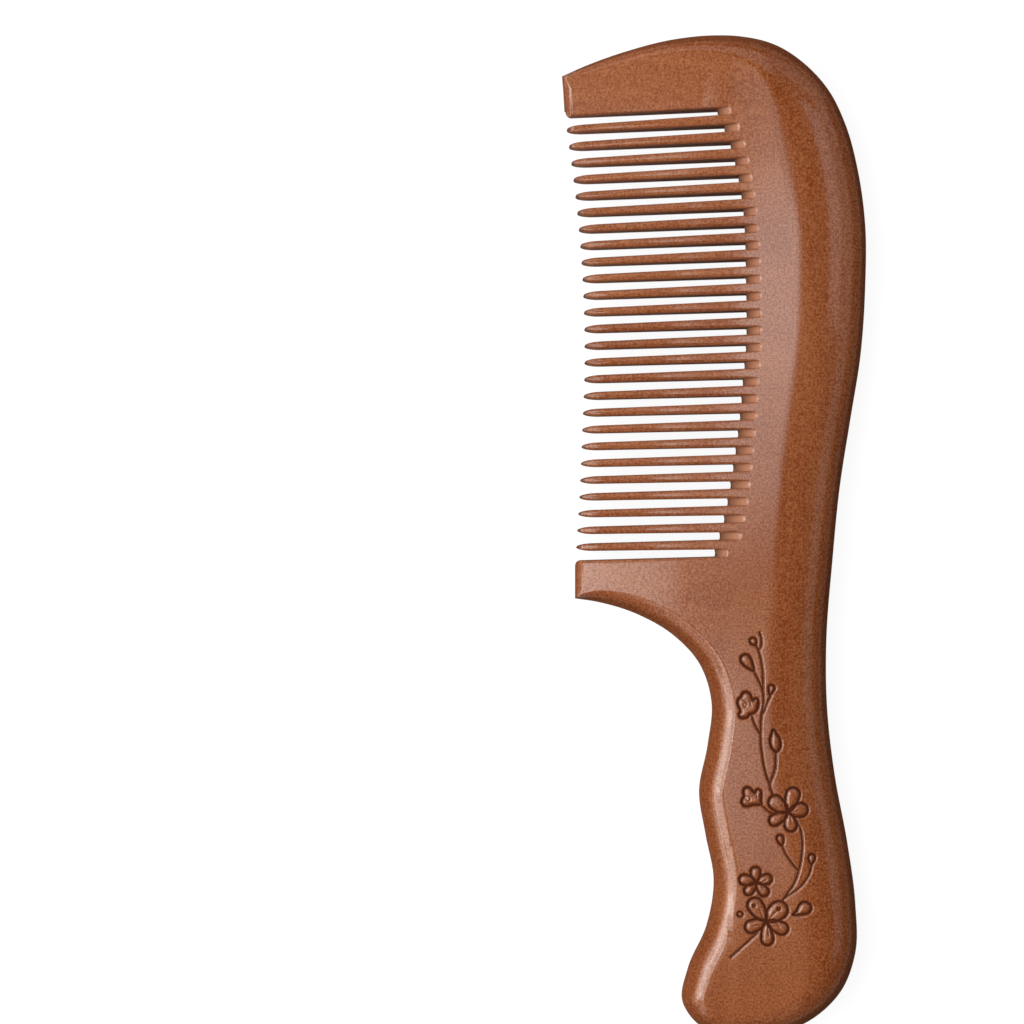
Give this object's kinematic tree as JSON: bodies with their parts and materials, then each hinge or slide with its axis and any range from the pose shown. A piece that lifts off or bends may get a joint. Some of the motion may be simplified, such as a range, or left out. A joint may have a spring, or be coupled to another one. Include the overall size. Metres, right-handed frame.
{
  "type": "wooden comb",
  "caption": "Handled wooden hair comb: a toothed board joined on an arc to a curved back and wavy handle, with a hidden tongue.",
  "frame": {"origin": "the middle of the bottom of the whole comb's box, under the comb as it lies on its back face", "axes": "+X from the tooth tips to the back, +Y from the handle to the top of the comb, +Z out of the front face"},
  "size_m": [0.0578, 0.19, 0.01],
  "materials": {
    "back_wood": "reddish brown stain, satin lacquer",
    "tooth_wood": "reddish brown stain, satin lacquer",
    "raw_wood": "bare planed hardwood"
  },
  "bodies": {
    "root": {"handle_and_back": "back_wood", "tooth_board": "tooth_wood", "joint_tongue": "raw_wood"}
  },
  "joints": []
}
